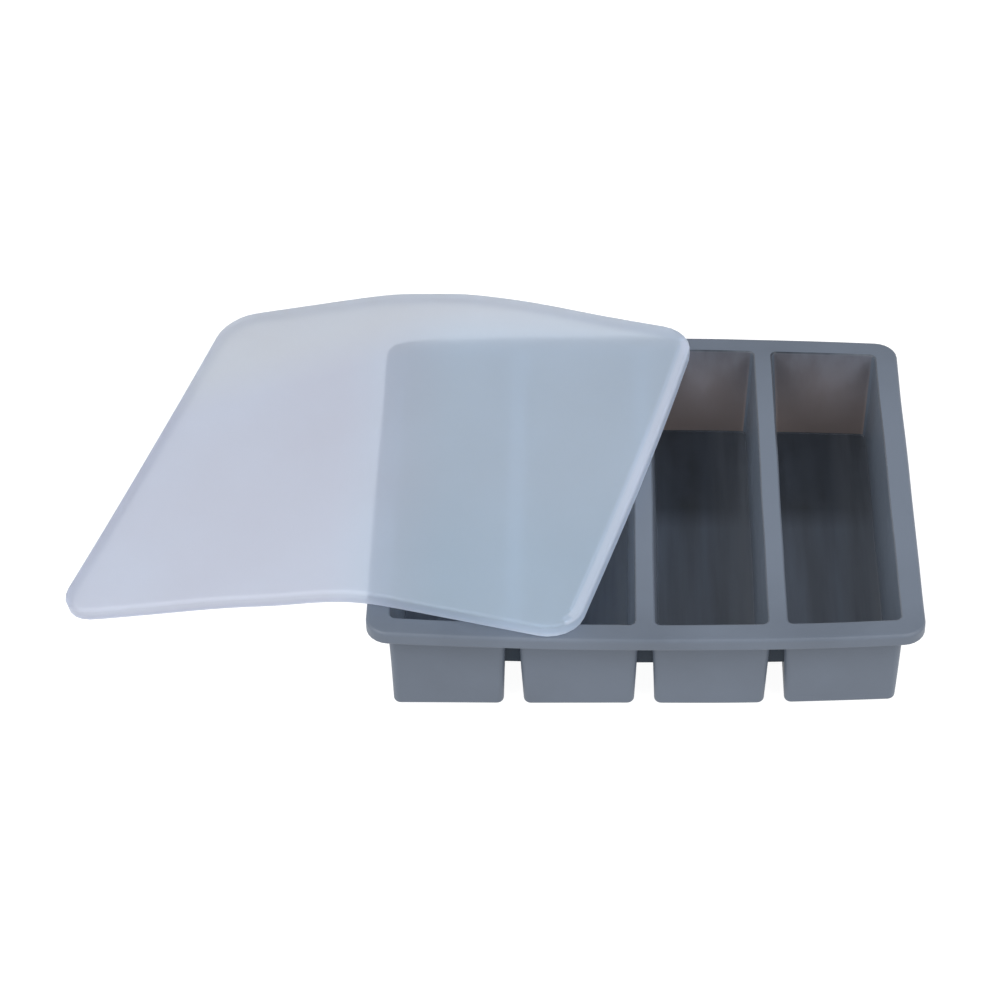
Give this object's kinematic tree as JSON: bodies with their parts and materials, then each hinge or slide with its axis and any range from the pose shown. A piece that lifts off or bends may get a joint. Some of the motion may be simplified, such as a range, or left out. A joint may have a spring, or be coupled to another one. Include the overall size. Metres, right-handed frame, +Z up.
{
  "type": "soap loaf mould",
  "caption": "Flexible silicone loaf mould with long tapered cavities side by side under a lipped rim, and its loose frosted lid lying askew over one end.",
  "frame": {"origin": "middle of the underside of the mould and lid together, on the surface they rest on", "axes": "+X across the cavities, +Y along the cavities away from the viewer, +Z up"},
  "size_m": [0.3334, 0.236, 0.0479],
  "materials": {
    "mould_silicone": "satin",
    "lid_silicone": "frosted"
  },
  "bodies": {
    "mould": {"mould_tray": "mould_silicone"},
    "lid": {"lid": "lid_silicone"}
  },
  "joints": [
    {"name": "lid_lift", "type": "slide", "parent": "mould", "child": "lid", "axis": [0, 0, 1], "range_m": [0, 0.08]}
  ]
}
